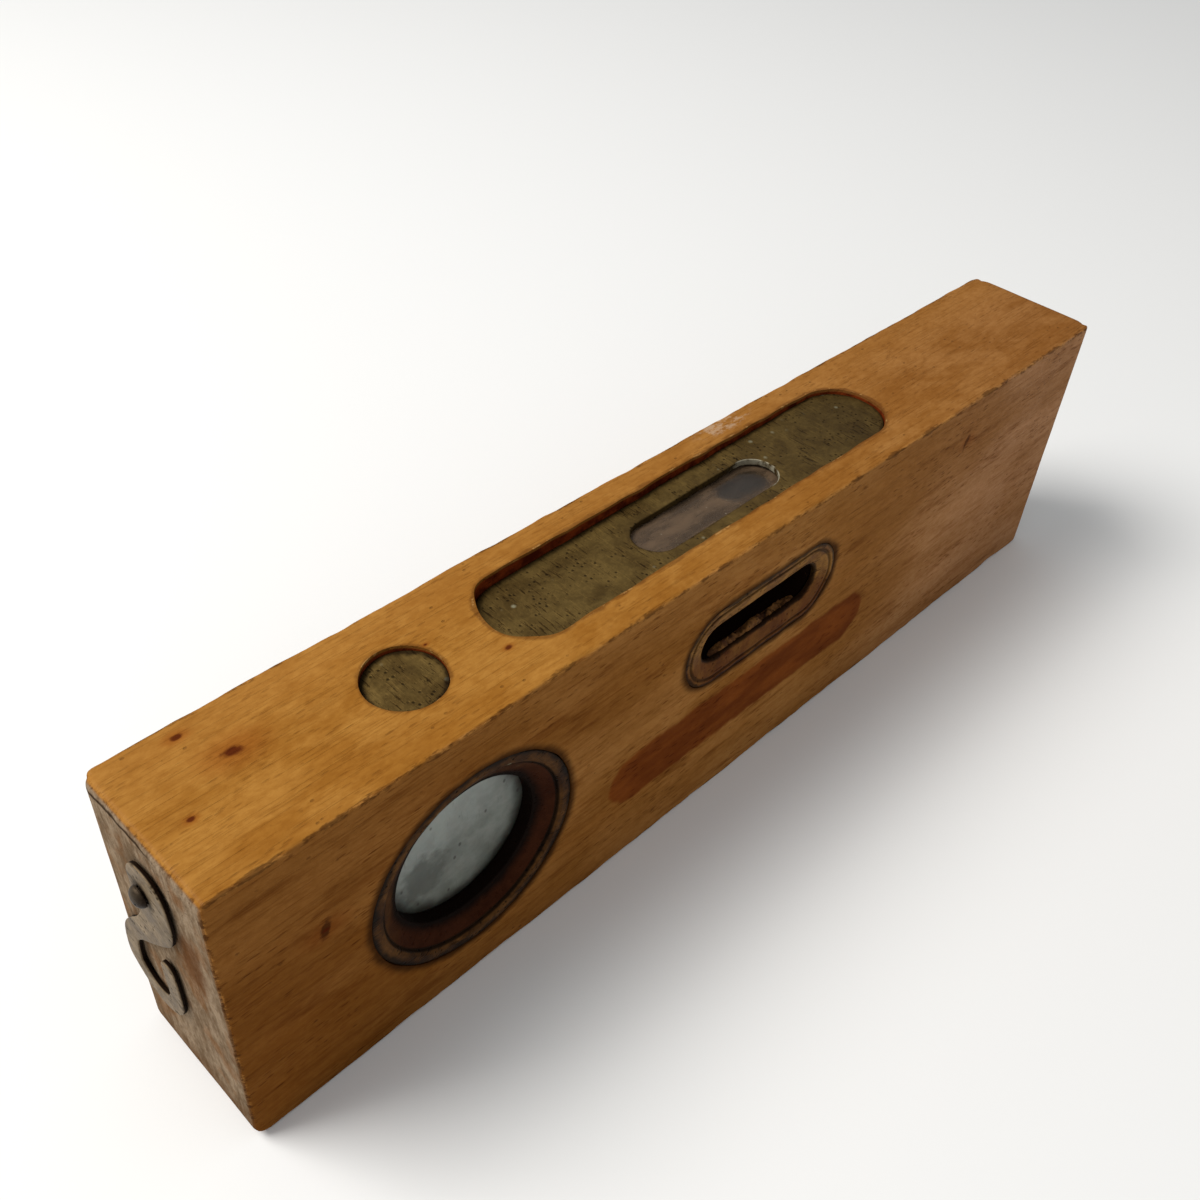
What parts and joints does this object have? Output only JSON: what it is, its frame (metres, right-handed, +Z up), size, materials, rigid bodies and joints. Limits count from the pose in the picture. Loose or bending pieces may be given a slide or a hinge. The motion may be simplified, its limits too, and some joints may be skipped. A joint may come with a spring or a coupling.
{
  "type": "spirit level",
  "caption": "Small wooden spirit level with a brass-plated vial in its top edge, a plumb vial behind round windows, and a swinging steel hook on its end.",
  "frame": {"origin": "middle of the sole, the flat underside of the wooden body", "axes": "+X towards the plain end, -X towards the end with the hook; -Y out of the front face; +Z up, square to the sole"},
  "size_m": [0.2023, 0.0264, 0.053],
  "materials": {
    "wood": "varnished hardwood, worn and grimy",
    "brass": "dull brown-green patina",
    "steel": "dark, slightly rusted sheet",
    "pane": "milky and dusty",
    "slot_glass": "flat glass under dust",
    "vial_glass": "clear",
    "spirit": "clear pale yellow-green liquid",
    "air": "bubble of air",
    "plaster": "rough, yellowed plaster"
  },
  "bodies": {
    "level_body": {"wooden_body": "wood", "top_plate": "brass", "slot_glass": "slot_glass", "main_vial_tube": "vial_glass", "main_vial_seal": "vial_glass", "main_vial_spirit": "spirit", "main_vial_bed": "plaster", "plumb_plug": "brass", "plumb_bed_upper": "plaster", "plumb_bed_lower": "plaster", "plumb_vial_tube": "vial_glass", "plumb_vial_seal": "vial_glass", "plumb_vial_spirit": "spirit", "round_bezel_front": "brass", "round_pane_front": "pane", "round_bezel_back": "brass", "round_pane_back": "pane", "side_bezel_front": "brass", "side_bezel_back": "brass", "hook_pin": "steel"},
    "hook": {"hanging_hook": "steel"},
    "main_bubble": {"main_vial_bubble": "air"},
    "plumb_bubble": {"plumb_vial_bubble": "air"}
  },
  "joints": [
    {"name": "hook_swing", "type": "hinge", "parent": "level_body", "child": "hook", "pos_m": [-0.1, 0, 0.0433], "axis": [1, 0, 0], "continuous": true},
    {"name": "main_bubble_run", "type": "slide", "parent": "level_body", "child": "main_bubble", "axis": [1, 0, 0], "range_m": [-0.018, 0.018]},
    {"name": "plumb_bubble_rise", "type": "slide", "parent": "level_body", "child": "plumb_bubble", "axis": [0, 0, 1], "range_m": [-0.023, 0], "stiffness_N_per_m": 3, "springref_m": 0.003}
  ]
}
